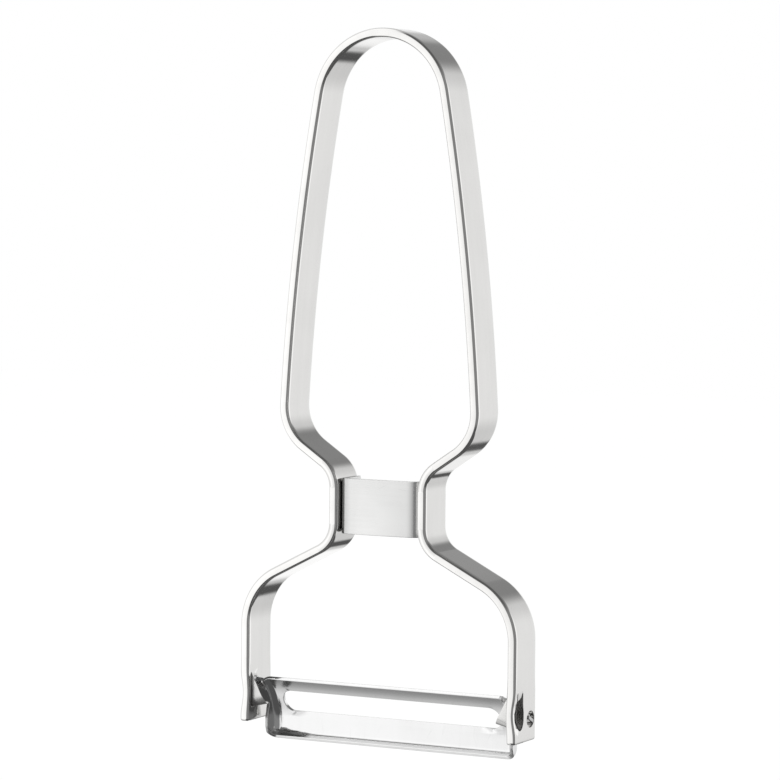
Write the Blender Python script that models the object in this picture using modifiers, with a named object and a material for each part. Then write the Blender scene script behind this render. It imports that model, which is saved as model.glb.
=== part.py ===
"""Loop-handled swivel peeler, all in steel, at its real size.

Three pieces make it: one long strip bent into a pear-shaped grip, a waist and two legs; a short
bent plate welded into the waist; and a pressed blade that swings on two lugs in the legs.
The peeler hangs upright with the blade at the bottom: x runs across it, y from front to back,
and z up. The origin is the inside of the crown, where a hook would carry the loop.
"""
import math

import bmesh
import bpy
from mathutils import Matrix, Vector

MM = 0.001
RIGHT_ANGLE = math.radians(90)

# The strip that is bent into the handle
STRIP_WIDTH = 11.0 * MM
STRIP_THICKNESS = 2.2 * MM
STRIP_EDGE_ROUND = 0.35 * MM

# The bends, from a leg's foot up to the crown: clear widths inside the strip, inside radii, turns
LEG_LENGTH = 22.9 * MM
HEAD_INSIDE_WIDTH = 66.9 * MM
SHOULDER_RADIUS = 12.9 * MM
SHOULDER_TURN = math.radians(63.0)
WAIST_INSIDE_WIDTH = 20.6 * MM
WAIST_LENGTH = 8.2 * MM
WAIST_RADIUS = 5.9 * MM
GRIP_INSIDE_WIDTH = 46.9 * MM
KNEE_RADIUS = 9.9 * MM
KNEE_TURN = math.radians(56.3)
SIDE_LENGTH = 72.0 * MM
SIDE_LEAN_LOW = math.radians(3.3)
SIDE_LEAN_HIGH = math.radians(10.1)

# The lanced stop in each leg: a window, and its tongue bent inwards to limit the blade's swing
WINDOW_DEPTH = 2.85 * MM
WINDOW_WIDTH = 3.8 * MM
WINDOW_FOOT = 3.0 * MM
WINDOW_HEIGHT = 8.4 * MM
WINDOW_ROUND_HEIGHT = 2.6 * MM
TONGUE_WIDTH = 2.9 * MM
TONGUE_LENGTH = 8.2 * MM
TONGUE_BEND_RADIUS = 1.0 * MM
TONGUE_TURN = math.radians(28.5)

# The spacer in the waist
SPACER_HEIGHT = 12.8 * MM
SPACER_THICKNESS = 1.2 * MM
SPACER_BEND_RADIUS = 1.2 * MM
SPACER_SETBACK = 0.9 * MM
SPACER_REAR_SETBACK = 1.4 * MM
SPACER_EDGE_ROUND = 0.15 * MM
WELD_GAP = 0.3 * MM

# The blade: a pressed plate, hollow to the front, with an ear bent forwards at each end
BLADE_SHEET = 0.8 * MM
BLADE_SIDE_GAP = 1.2 * MM
BLADE_TOP_FORWARD = 4.2 * MM
BLADE_TOP_HEIGHT = 4.7 * MM
BLADE_TOP_SLOPE = math.radians(39.0)
BLADE_PLATE_RADIUS = 14.6 * MM
BLADE_PLATE_TURN = math.radians(52.8)
BLADE_FOLD_RADIUS = 1.4 * MM
BLADE_FOLD_TURN = math.radians(62.0)
BLADE_LIP_LENGTH = 1.35 * MM
EAR_BEND_RADIUS = 1.5 * MM
EAR_FOOT_FORWARD = 1.7 * MM
# The ear's free edge: how far in front of the pivot it runs where the plate has this height
EAR_FRONT = (
    (-4.0 * MM, 2.2 * MM),
    (-0.5 * MM, 1.4 * MM),
    (1.7 * MM, 3.6 * MM),
)
EAR_LEAST_DEPTH = 0.8 * MM
SLOT_LENGTH = 56.6 * MM
SLOT_TOP = 1.95 * MM
SLOT_BOTTOM = -3.2 * MM
EDGE_GRIND_WIDTH = 1.2 * MM
EDGE_THICKNESS = 0.15 * MM

# The swivel: a flat lug on each ear, leaning back and free to turn in a round hole in each leg
PIVOT_HEIGHT = 5.0 * MM
PIVOT_DEPTH = 8.2 * MM
PIVOT_CLEARANCE = 0.45 * MM
LUG_WIDTH = 2.7 * MM
LUG_LEAN = math.radians(28.0)
LUG_PROUD = 0.2 * MM

# Fineness of the bends, as the largest turn between two rows of faces
BOW_STEP = math.radians(1.0)
WIDE_STEP = math.radians(6.0)
TIGHT_STEP = math.radians(9.0)
FOLD_STEP = math.radians(14.0)
SMALL_STEP = math.radians(18.0)
HOLE_STEPS = 24
FOOT_STEPS = 8
EAR_STEPS = 7

# How far cutters stand clear, how deep the lugs start inside the ears, and what counts as touching
CUTTER_REACH = 3.0 * MM
LUG_BITE = 0.2 * MM
WELD_DISTANCE = 0.01 * MM

SIDES = ((-1, "left"), (1, "right"))


class BentLine:
    """A line laid out the way sheet is bent: straight runs and round bends, one after another."""

    def __init__(self, across, along, heading):
        self.across = across
        self.along = along
        self.heading = heading
        self.points = [(across, along)]
        self.headings = [heading]

    def straight(self, length):
        self.across += length * math.cos(self.heading)
        self.along += length * math.sin(self.heading)
        self._note()

    def bend(self, radius, turn, largest_step):
        """Turns left for a positive turn and right for a negative one."""
        steps = max(2, math.ceil(abs(turn) / largest_step - 1e-6))
        signed_radius = math.copysign(radius, turn)
        for _ in range(steps):
            next_heading = self.heading + turn / steps
            self.across += signed_radius * (math.sin(next_heading) - math.sin(self.heading))
            self.along -= signed_radius * (math.cos(next_heading) - math.cos(self.heading))
            self.heading = next_heading
            self._note()

    def _note(self):
        self.points.append((self.across, self.along))
        self.headings.append(self.heading)


def run_between(sideways, turn, *radii):
    """Length of the straight run between two opposite bends that shift the strip sideways."""
    return (sideways - sum(radii) * (1.0 - math.cos(turn))) / math.sin(turn)


def strip_centre_line():
    """Centre line of the strip's right half, from the leg's foot at height 0 to the crown.

    The height of the middle of the waist comes with it.
    """
    half = STRIP_THICKNESS / 2
    head_half = HEAD_INSIDE_WIDTH / 2 + half
    waist_half = WAIST_INSIDE_WIDTH / 2 + half
    grip_half = GRIP_INSIDE_WIDTH / 2 + half
    shoulder, waist, knee = SHOULDER_RADIUS + half, WAIST_RADIUS + half, KNEE_RADIUS + half
    bow = SIDE_LEAN_HIGH - SIDE_LEAN_LOW

    line = BentLine(head_half, 0.0, RIGHT_ANGLE)
    line.straight(LEG_LENGTH)
    line.bend(shoulder, SHOULDER_TURN, WIDE_STEP)
    line.straight(run_between(head_half - waist_half, SHOULDER_TURN, shoulder, waist))
    line.bend(waist, -SHOULDER_TURN, TIGHT_STEP)
    waist_middle = line.along + WAIST_LENGTH / 2
    line.straight(WAIST_LENGTH)
    line.bend(waist, -KNEE_TURN, TIGHT_STEP)
    line.straight(run_between(grip_half - waist_half, KNEE_TURN, waist, knee))
    line.bend(knee, KNEE_TURN + SIDE_LEAN_LOW, WIDE_STEP)
    line.bend(SIDE_LENGTH / bow, bow, BOW_STEP)
    line.bend(line.across / math.cos(SIDE_LEAN_HIGH), RIGHT_ANGLE - SIDE_LEAN_HIGH, WIDE_STEP)
    return line, waist_middle


STRIP_LINE, WAIST_MIDDLE = strip_centre_line()
FRONT = -STRIP_WIDTH / 2
FOOT = -(STRIP_LINE.points[-1][1] - STRIP_THICKNESS / 2)
LEG_INSIDE = HEAD_INSIDE_WIDTH / 2
LEG_OUTSIDE = LEG_INSIDE + STRIP_THICKNESS
EAR_OUTSIDE = LEG_INSIDE - BLADE_SIDE_GAP
PIVOT = Vector((0.0, FRONT + PIVOT_DEPTH, FOOT + PIVOT_HEIGHT))


def new_collection(name):
    collection = bpy.data.collections.new(name)
    bpy.context.scene.collection.children.link(collection)
    return collection


def steel(name, colour, roughness):
    material = bpy.data.materials.new(name)
    material.use_nodes = True
    shader = material.node_tree.nodes["Principled BSDF"]
    shader.inputs["Base Color"].default_value = (*colour, 1.0)
    shader.inputs["Metallic"].default_value = 1.0
    shader.inputs["Roughness"].default_value = roughness
    return material


def new_object(name, mesh, collection):
    item = bpy.data.objects.new(name, mesh)
    collection.objects.link(item)
    return item


def finish_mesh(bm, name):
    mesh = bpy.data.meshes.new(name)
    bm.to_mesh(mesh)
    bm.free()
    mesh.shade_smooth()
    return mesh


def ribbon(name, corners, sweep, collection):
    """An open sheet: a line of corners drawn out along the sweep vector."""
    bm = bmesh.new()
    verts = [bm.verts.new(corner) for corner in corners]
    edges = [bm.edges.new(pair) for pair in zip(verts, verts[1:])]
    drawn = bmesh.ops.extrude_edge_only(bm, edges=edges)["geom"]
    moved = [item for item in drawn if isinstance(item, bmesh.types.BMVert)]
    bmesh.ops.translate(bm, verts=moved, vec=sweep)
    return new_object(name, finish_mesh(bm, name), collection)


def flat_plate(name, outline, thickness, place, collection):
    """A closed outline, drawn in a plane, as a plate of this thickness centred on the plane."""
    curve = bpy.data.curves.new(name, "CURVE")
    curve.dimensions = "2D"
    curve.fill_mode = "BOTH"
    curve.extrude = thickness / 2
    spline = curve.splines.new("POLY")
    spline.points.add(len(outline) - 1)
    for point, (across, along) in zip(spline.points, outline):
        point.co = (across, along, 0.0, 1.0)
    spline.use_cyclic_u = True
    drawn = new_object(name + "_outline", curve, collection)
    drawn.matrix_world = place
    bpy.context.view_layer.update()
    evaluated = drawn.evaluated_get(bpy.context.evaluated_depsgraph_get())
    mesh = bpy.data.meshes.new_from_object(evaluated)
    bm = bmesh.new()
    bm.from_mesh(mesh)
    bmesh.ops.remove_doubles(bm, verts=bm.verts, dist=WELD_DISTANCE)
    bm.to_mesh(mesh)
    bm.free()
    plate = new_object(name, mesh, collection)
    plate.matrix_world = drawn.matrix_world
    bpy.data.objects.remove(drawn)
    return plate


def as_guide(item):
    item.hide_render = True
    item.display_type = "WIRE"
    return item


def add_mirror(item):
    mirror = item.modifiers.new("both sides", "MIRROR")
    mirror.use_clip = True
    mirror.merge_threshold = WELD_DISTANCE


def add_solidify(item, thickness, offset):
    solidify = item.modifiers.new("sheet thickness", "SOLIDIFY")
    solidify.thickness = thickness
    solidify.offset = offset
    solidify.use_even_offset = True


def add_bevel(item, width, segments):
    bevel = item.modifiers.new("rounded edges", "BEVEL")
    bevel.width = width
    bevel.segments = segments
    bevel.limit_method = "ANGLE"
    bevel.angle_limit = math.radians(60)
    bevel.harden_normals = False


def add_boolean(item, operation, other):
    boolean = item.modifiers.new(operation.lower() + " " + other.name, "BOOLEAN")
    boolean.operation = operation
    boolean.object = other


def on_leg(side, depth, height):
    """A frame on a leg's mid-thickness: its x runs to the back, its y up, its z outwards."""
    rows = ((0, 0, side), (side, 0, 0), (0, 1, 0))
    turned = Matrix(rows).to_4x4()
    outwards = side * (LEG_INSIDE + STRIP_THICKNESS / 2)
    return Matrix.Translation((outwards, FRONT + depth, FOOT + height)) @ turned


def round_footed(width, height):
    """Outline of a tab hanging down from height 0: square at the top, half an ellipse at the foot."""
    outline = [(-width / 2, 0.0)]
    for n in range(FOOT_STEPS + 1):
        turn = math.pi * n / FOOT_STEPS
        rise = WINDOW_ROUND_HEIGHT * (1.0 - math.sin(turn))
        outline.append((-width / 2 * math.cos(turn), rise - height))
    return outline + [(width / 2, 0.0)]


def circle(radius, corners):
    turns = [2 * math.pi * n / corners for n in range(corners)]
    return [(radius * math.cos(turn), radius * math.sin(turn)) for turn in turns]


def block(name, size, place, collection):
    """A plain block of this size about the middle of its frame."""
    bm = bmesh.new()
    bmesh.ops.create_cube(bm, size=1.0, matrix=place @ Matrix.Diagonal((*size, 1.0)))
    return new_object(name, finish_mesh(bm, name), collection)


def stop_tongue(word, side, window_place, cutters):
    """The flap sheared from the window: bent inwards at the window's top, and round at its foot."""
    root = STRIP_THICKNESS / 2
    bend = TONGUE_BEND_RADIUS + STRIP_THICKNESS / 2
    line = BentLine(0.0, 2 * root, -RIGHT_ANGLE)
    line.straight(2 * root)
    line.bend(bend, -TONGUE_TURN, FOLD_STEP)
    line.straight(TONGUE_LENGTH - bend * TONGUE_TURN)
    sheet_front = -WINDOW_WIDTH / 2 - CUTTER_REACH
    corners = [window_place @ Vector((sheet_front * side, z, x)) for x, z in line.points]
    tongue = ribbon(word + "_tongue", corners, (0.0, -2 * sheet_front, 0.0), cutters)
    add_solidify(tongue, STRIP_THICKNESS, 0.0)

    outline = round_footed(TONGUE_WIDTH, root - line.along)
    outline_place = window_place @ Matrix.Translation((0.0, root, 0.0))
    shear = flat_plate(word + "_shear", outline, 2 * WINDOW_HEIGHT, outline_place, cutters)
    add_boolean(tongue, "INTERSECT", as_guide(shear))
    return as_guide(tongue)


def handle_strip(parts, cutters, finish):
    """The one strip: mirrored half line, thickened, with the windows, tongues and pivot holes."""
    corners = [(x, FRONT, FOOT + z) for x, z in STRIP_LINE.points]
    strip = ribbon("handle_strip", corners, (0.0, STRIP_WIDTH, 0.0), parts)
    add_mirror(strip)
    add_solidify(strip, STRIP_THICKNESS, 0.0)
    add_bevel(strip, STRIP_EDGE_ROUND, segments=2)

    through = STRIP_THICKNESS + 2 * CUTTER_REACH
    window_outline = round_footed(WINDOW_WIDTH, WINDOW_HEIGHT)
    hole_radius = math.hypot(LUG_WIDTH, BLADE_SHEET) / 2 + PIVOT_CLEARANCE
    hole_outline = circle(hole_radius, HOLE_STEPS)
    for side, word in SIDES:
        window_place = on_leg(side, WINDOW_DEPTH, WINDOW_FOOT + WINDOW_HEIGHT)
        window = flat_plate(word + "_window", window_outline, through, window_place, cutters)
        add_boolean(strip, "DIFFERENCE", as_guide(window))

        hole_place = on_leg(side, PIVOT_DEPTH, PIVOT_HEIGHT)
        hole = flat_plate(word + "_hole", hole_outline, through, hole_place, cutters)
        add_boolean(strip, "DIFFERENCE", as_guide(hole))

        add_boolean(strip, "UNION", stop_tongue(word, side, window_place, cutters))
    strip.data.materials.append(finish)
    return strip


def waist_spacer(parts, finish):
    """A plate bent into a channel: its web faces the front, its flanges lie along the waist."""
    outside = WAIST_INSIDE_WIDTH / 2 - WELD_GAP
    outer_bend = SPACER_BEND_RADIUS + SPACER_THICKNESS
    web_front = FRONT + SPACER_SETBACK
    flange_end = STRIP_WIDTH / 2 - SPACER_REAR_SETBACK
    line = BentLine(0.0, web_front, 0.0)
    line.straight(outside - outer_bend)
    line.bend(outer_bend, RIGHT_ANGLE, SMALL_STEP)
    line.straight(flange_end - web_front - outer_bend)
    foot = FOOT + WAIST_MIDDLE - SPACER_HEIGHT / 2
    corners = [(x, y, foot) for x, y in line.points]
    spacer = ribbon("waist_spacer", corners, (0.0, 0.0, SPACER_HEIGHT), parts)
    add_mirror(spacer)
    add_solidify(spacer, SPACER_THICKNESS, 1.0)
    add_bevel(spacer, SPACER_EDGE_ROUND, segments=1)
    spacer.data.materials.append(finish)
    return spacer


def blade_section():
    """Hollow side of the blade's section about the pivot, and how many points its plate has."""
    line = BentLine(-BLADE_TOP_FORWARD, BLADE_TOP_HEIGHT, -BLADE_TOP_SLOPE)
    line.bend(BLADE_PLATE_RADIUS, -BLADE_PLATE_TURN, WIDE_STEP)
    plate_points = len(line.points)
    line.bend(BLADE_FOLD_RADIUS, -BLADE_FOLD_TURN, FOLD_STEP)
    line.straight(BLADE_LIP_LENGTH)
    return line, plate_points


def section_across(height):
    """How far behind the pivot the hollow side of the plate lies at this height above it."""
    points = blade_section()[0].points
    for (y, z), (next_y, next_z) in zip(points, points[1:]):
        if z >= height >= next_z:
            return y + (next_y - y) * (z - height) / (z - next_z)
    return points[-1][0]


def ear_forward(height):
    """How far in front of the pivot the ear's free edge runs, between the given heights."""
    for (low, low_reach), (high, high_reach) in zip(EAR_FRONT, EAR_FRONT[1:]):
        if height <= high:
            part = max(0.0, (height - low) / (high - low))
            return low_reach + (high_reach - low_reach) * part
    return EAR_FRONT[-1][1]


def ear_places(depth):
    """Evenly spaced places up a bent end: how far out, how far off the plate, and the turn."""
    wall = EAR_OUTSIDE - BLADE_SHEET
    last_turn = math.acos(max(0.0, 1.0 - depth / EAR_BEND_RADIUS))
    bend_length = EAR_BEND_RADIUS * last_turn
    length = bend_length + max(0.0, depth - EAR_BEND_RADIUS)
    places = [(0.0, 0.0, 0.0)]
    for n in range(EAR_STEPS + 1):
        gone = length * n / EAR_STEPS
        turn = min(gone, bend_length) / EAR_BEND_RADIUS
        out = wall - EAR_BEND_RADIUS * (1.0 - math.sin(turn))
        off = EAR_BEND_RADIUS * (1.0 - math.cos(turn)) + max(0.0, gone - bend_length)
        places.append((out, off, turn))
    return places


def ear_edge(section, plate_points):
    """Where the ear's free edge lies for each point of the section, as a line down its front."""
    edge = []
    for (y, z), heading in zip(section.points[:plate_points], section.headings):
        hollow_side = Vector((math.sin(heading), -math.cos(heading)))
        depth = max((-ear_forward(z) - y) / hollow_side.x, EAR_LEAST_DEPTH)
        edge.append(Vector((y, z)) + depth * hollow_side)
    lip_points = len(section.points) - plate_points
    last = edge[-1]
    foot = Vector(section.points[-1]) + Vector((0.0, EAR_LEAST_DEPTH))
    foot.x = min(foot.x, -EAR_FOOT_FORWARD)
    for n in range(1, lip_points + 1):
        edge.append(last.lerp(foot, n / lip_points))
    return edge


def pressed_sheet(name, collection):
    """Right half of the blade as a loft: the section runs outwards, then turns up as the ear."""
    section, plate_points = blade_section()
    edge = ear_edge(section, plate_points)
    bm = bmesh.new()
    inner, outer = [], []
    for point, heading, free_edge in zip(section.points, section.headings, edge):
        start = Vector(point)
        back = Vector((-math.sin(heading), math.cos(heading)))
        rise = free_edge - start
        inner_row, outer_row = [], []
        for out, off, turn in ear_places(rise.length):
            y, z = start + off * rise.normalized()
            inner_row.append(bm.verts.new((out, y, z)))
            shift = back * BLADE_SHEET * math.cos(turn)
            out += BLADE_SHEET * math.sin(turn)
            outer_row.append(bm.verts.new((out, y + shift.x, z + shift.y)))
        inner.append(inner_row)
        outer.append(outer_row)
    # One closed run of rows round the sheet: down the hollow side and back up the outer side
    for upper, lower in zip(inner + outer[::-1], inner[1:] + outer[::-1] + inner[:1]):
        for n in range(len(upper) - 1):
            bm.faces.new((upper[n], upper[n + 1], lower[n + 1], lower[n]))
    free_inner = [row[-1] for row in inner]
    free_outer = [row[-1] for row in outer]
    for n in range(len(free_inner) - 1):
        bm.faces.new((free_inner[n], free_outer[n], free_outer[n + 1], free_inner[n + 1]))
    bmesh.ops.recalc_face_normals(bm, faces=bm.faces)
    return new_object(name, finish_mesh(bm, name), collection)


def slot_cutter(radius, run, cutters):
    """The long slot with round ends, cut from front to back through the whole of the plate."""
    line = BentLine(-run / 2, SLOT_BOTTOM, 0.0)
    line.straight(run)
    line.bend(radius, 2 * RIGHT_ANGLE, SMALL_STEP)
    line.straight(run)
    line.bend(radius, 2 * RIGHT_ANGLE, SMALL_STEP)
    facing_front = Matrix.Translation(PIVOT) @ Matrix.Rotation(RIGHT_ANGLE, 4, "X")
    through = 2 * (BLADE_PLATE_RADIUS + CUTTER_REACH)
    return flat_plate("peel_slot", line.points[:-1], through, facing_front, cutters)


def edge_cutter(run, cutters):
    """A wedge that grinds the slot's lower side from the hollow face down to a thin edge."""
    hollow_face = section_across(SLOT_BOTTOM)
    ground_away = BLADE_SHEET - EDGE_THICKNESS
    edge = hollow_face + ground_away
    in_front = hollow_face - CUTTER_REACH
    fall = (edge - in_front) * EDGE_GRIND_WIDTH / ground_away
    top = SLOT_BOTTOM + CUTTER_REACH / 2
    outline = ((edge, SLOT_BOTTOM), (edge, top), (in_front, top), (in_front, SLOT_BOTTOM - fall))
    rows = ((0, 0, 1), (1, 0, 0), (0, 1, 0))
    facing_side = Matrix.Translation(PIVOT) @ Matrix(rows).to_4x4()
    return flat_plate("ground_edge", outline, run, facing_side, cutters)


def swivel_blade(parts, cutters, finish):
    """The pressed plate with its slot, ground edge and lugs, hung on the pivot axis."""
    blade = pressed_sheet("swivel_blade", parts)
    blade.location = PIVOT
    add_mirror(blade)

    slot_radius = (SLOT_TOP - SLOT_BOTTOM) / 2
    run = SLOT_LENGTH - 2 * slot_radius
    add_boolean(blade, "DIFFERENCE", as_guide(slot_cutter(slot_radius, run, cutters)))
    add_boolean(blade, "DIFFERENCE", as_guide(edge_cutter(run, cutters)))

    lug_start = EAR_OUTSIDE - BLADE_SHEET + LUG_BITE
    lug_end = LEG_OUTSIDE + LUG_PROUD
    size = (lug_end - lug_start, LUG_WIDTH, BLADE_SHEET)
    for side, word in SIDES:
        middle = PIVOT + Vector((side * (lug_start + lug_end) / 2, 0.0, 0.0))
        place = Matrix.Translation(middle) @ Matrix.Rotation(-LUG_LEAN, 4, "X")
        lug = block(word + "_lug", size, place, cutters)
        add_boolean(blade, "UNION", as_guide(lug))
    blade.data.materials.append(finish)
    return blade


def main():
    for item in list(bpy.data.objects):
        bpy.data.objects.remove(item)
    parts = new_collection("loop_peeler")
    cutters = new_collection("cutters")
    handle_steel = steel("polished_handle_steel", (0.66, 0.65, 0.64), 0.16)
    spacer_steel = steel("satin_spacer_steel", (0.68, 0.68, 0.67), 0.30)
    blade_steel = steel("polished_blade_steel", (0.70, 0.70, 0.70), 0.14)
    handle_strip(parts, cutters, handle_steel)
    waist_spacer(parts, spacer_steel)
    swivel_blade(parts, cutters, blade_steel)


main()
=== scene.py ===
# %% [markdown]
# A wide potato peeler in bare steel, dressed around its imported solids. Three pieces of sheet make it:
# a long strip bent into a grip and a fork, a small channel in the waist, and a slotted blade that
# swings in the fork. Each is made here the way a press shop makes it. A flat blank with its holes
# is drawn first, its edges are rounded, and then every point is moved to where the bends carry it.

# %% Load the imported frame
import math

import bmesh
import bpy
import numpy as np
from mathutils import Matrix, Vector
from mathutils.geometry import delaunay_2d_cdt


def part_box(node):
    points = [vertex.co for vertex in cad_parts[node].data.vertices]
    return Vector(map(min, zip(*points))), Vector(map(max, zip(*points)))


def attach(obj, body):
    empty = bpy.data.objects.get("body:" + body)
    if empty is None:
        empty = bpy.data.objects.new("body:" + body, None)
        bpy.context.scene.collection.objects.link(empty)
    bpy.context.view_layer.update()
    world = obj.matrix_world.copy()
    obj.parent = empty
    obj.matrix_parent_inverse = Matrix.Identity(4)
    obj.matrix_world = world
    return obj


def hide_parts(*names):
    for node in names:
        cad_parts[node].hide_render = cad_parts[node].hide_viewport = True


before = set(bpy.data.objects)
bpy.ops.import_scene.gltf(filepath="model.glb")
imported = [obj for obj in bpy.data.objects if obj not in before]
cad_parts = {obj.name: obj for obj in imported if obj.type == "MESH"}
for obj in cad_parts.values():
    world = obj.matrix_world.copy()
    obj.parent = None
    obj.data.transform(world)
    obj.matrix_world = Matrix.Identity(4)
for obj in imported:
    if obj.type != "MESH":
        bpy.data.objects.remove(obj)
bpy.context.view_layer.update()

# %% [markdown]
# Lengths are written in millimetres, as a drawing has them. The strip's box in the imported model
# gives its width and its lowest point, so those are read, not typed.

# %% Sizes of the strip
MM = 0.001
RIGHT_ANGLE = math.radians(90)

strip_low, strip_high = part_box("handle_strip")
STRIP_WIDTH = strip_high.y - strip_low.y
STRIP_FOOT = strip_low.z
STRIP_THICKNESS = 2.2 * MM
LEG_INSIDE = 66.9 * MM
LEG_LENGTH = 22.9 * MM
print(f"strip {STRIP_WIDTH / MM:.1f} x {STRIP_THICKNESS / MM:.1f} mm")
print(f"foot at {STRIP_FOOT / MM:.2f} mm")


# %% [markdown]
# A bent strip is straight runs and round bends, one after another. This class keeps them as a list
# and answers one question: how far along the strip, which place and which heading. It is exact at
# any point, so the same line serves for a coarse mesh and for a fine one.

# %% A line of runs and bends
class BentLine:
    """Runs and round bends in a plane. A positive turn is to the left."""

    def __init__(self, across, along, heading):
        self.pieces = []
        self.end = (across, along, heading)
        self.length = 0.0

    def run(self, length):
        """Add a straight run."""
        return self._add(length, 0.0)

    def bend(self, radius, turn):
        """Add a round bend through this angle."""
        return self._add(radius * abs(turn), turn)

    def _add(self, length, turn):
        self.pieces.append((self.length, length, turn, self.end))
        self.length += length
        self.end = self.at(self.length)
        return self

    def at(self, gone):
        """Across, along and heading at this length from the start."""
        for first, length, turn, start in self.pieces:
            if gone <= first + length:
                break
        across, along, heading = start
        part = gone - first
        if turn == 0.0:
            return across + part * math.cos(heading), along + part * math.sin(heading), heading
        radius = length / turn
        now = heading + part / radius
        across += radius * (math.sin(now) - math.sin(heading))
        along -= radius * (math.cos(now) - math.cos(heading))
        return across, along, now

    def stations(self, largest_turn, largest_run):
        """Lengths at which a mesh needs a row: the ends of each piece and enough between them."""
        marks = [0.0]
        for first, length, turn, _ in self.pieces:
            steps = math.ceil(max(abs(turn) / largest_turn, length / largest_run, 1.0) - 1e-9)
            marks += [first + length * n / steps for n in range(1, steps + 1)]
        return marks


# %% [markdown]
# The handle's line starts at a leg's foot and climbs to the crown: leg, shoulder, slope, waist,
# slope, knee, the bowed side and half of the round crown. Only the right half is laid out. Widths
# and radii are measured inside, so half the sheet is added to reach the middle of the strip.

# %% The handle's line
WAIST_INSIDE = 20.6 * MM
GRIP_INSIDE = 46.9 * MM
SHOULDER_RADIUS, WAIST_RADIUS, KNEE_RADIUS = 12.9 * MM, 5.9 * MM, 9.9 * MM
SHOULDER_TURN, KNEE_TURN = math.radians(63.0), math.radians(56.3)
LEAN_LOW, LEAN_HIGH = math.radians(3.3), math.radians(10.1)
WAIST_LENGTH = 8.2 * MM
SIDE_LENGTH = 72.0 * MM


def run_between(sideways, turn, *radii):
    """Length of the straight run between two opposite bends that shift the strip sideways."""
    return (sideways - sum(radii) * (1.0 - math.cos(turn))) / math.sin(turn)


half = STRIP_THICKNESS / 2
leg_half = LEG_INSIDE / 2 + half
waist_half = WAIST_INSIDE / 2 + half
grip_half = GRIP_INSIDE / 2 + half
shoulder, waist, knee = SHOULDER_RADIUS + half, WAIST_RADIUS + half, KNEE_RADIUS + half

strip_line = BentLine(leg_half, STRIP_FOOT, RIGHT_ANGLE)
strip_line.run(LEG_LENGTH).bend(shoulder, SHOULDER_TURN)
strip_line.run(run_between(leg_half - waist_half, SHOULDER_TURN, shoulder, waist))
strip_line.bend(waist, -SHOULDER_TURN)
waist_middle = strip_line.end[1] + WAIST_LENGTH / 2
strip_line.run(WAIST_LENGTH).bend(waist, -KNEE_TURN)
strip_line.run(run_between(grip_half - waist_half, KNEE_TURN, waist, knee))
strip_line.bend(knee, KNEE_TURN + LEAN_LOW)
strip_line.bend(SIDE_LENGTH / (LEAN_HIGH - LEAN_LOW), LEAN_HIGH - LEAN_LOW)
strip_line.bend(strip_line.end[0] / math.cos(LEAN_HIGH), RIGHT_ANGLE - LEAN_HIGH)
print(f"half strip {strip_line.length / MM:.1f} mm long")
print(f"crown at x = {strip_line.end[0] / MM:.3f} mm")


# %% [markdown]
# A blank is drawn as loops of points with the steel on their left: the outline runs one way round
# and each hole the other. Two helpers work on such loops. One moves a loop to its left, which makes
# the rings of a rounded rim. The other tells the points inside, which keeps faces out of the holes.

# %% Loops
def inset(points, distance, closed):
    """The loop moved to its left by this distance, with mitred corners."""
    points = np.asarray(points, float)
    ahead = np.roll(points, -1, axis=0) - points
    ahead /= np.linalg.norm(ahead, axis=1)[:, None]
    left = np.column_stack([-ahead[:, 1], ahead[:, 0]])
    before = np.roll(left, 1, axis=0)
    if not closed:
        left[-1] = before[-1]
        before[0] = left[0]
    both = left + before
    return points + np.reshape(distance, (-1, 1)) * 2 * both / np.sum(both * both, axis=1)[:, None]


def inside(points, loops):
    """Whether each point lies within an odd number of the loops."""
    points = np.asarray(points, float)
    result = np.zeros(len(points), bool)
    for loop in loops:
        start = np.asarray(loop, float)
        stop = np.roll(start, -1, axis=0)
        for (x0, y0), (x1, y1) in zip(start, stop):
            if y0 == y1:
                continue
            crosses = (points[:, 1] < y0) != (points[:, 1] < y1)
            reach = x0 + (points[:, 1] - y0) * (x1 - x0) / (y1 - y0)
            result ^= crosses & (points[:, 0] < reach)
    return result


# %% [markdown]
# Sheet has two broad faces and a rim. The broad faces are a triangle mesh between the loops. The
# rim is a quarter of an ellipse on each side, which is what shearing and tumbling leave. It reaches
# further over the broad face than it drops, so the face turns away gently before its edge.

# %% Blanks with rounded rims
RIM_STEPS = 6
FILL_MARGIN = 0.25 * MM
SAME_POINT = 1e-9


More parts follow.
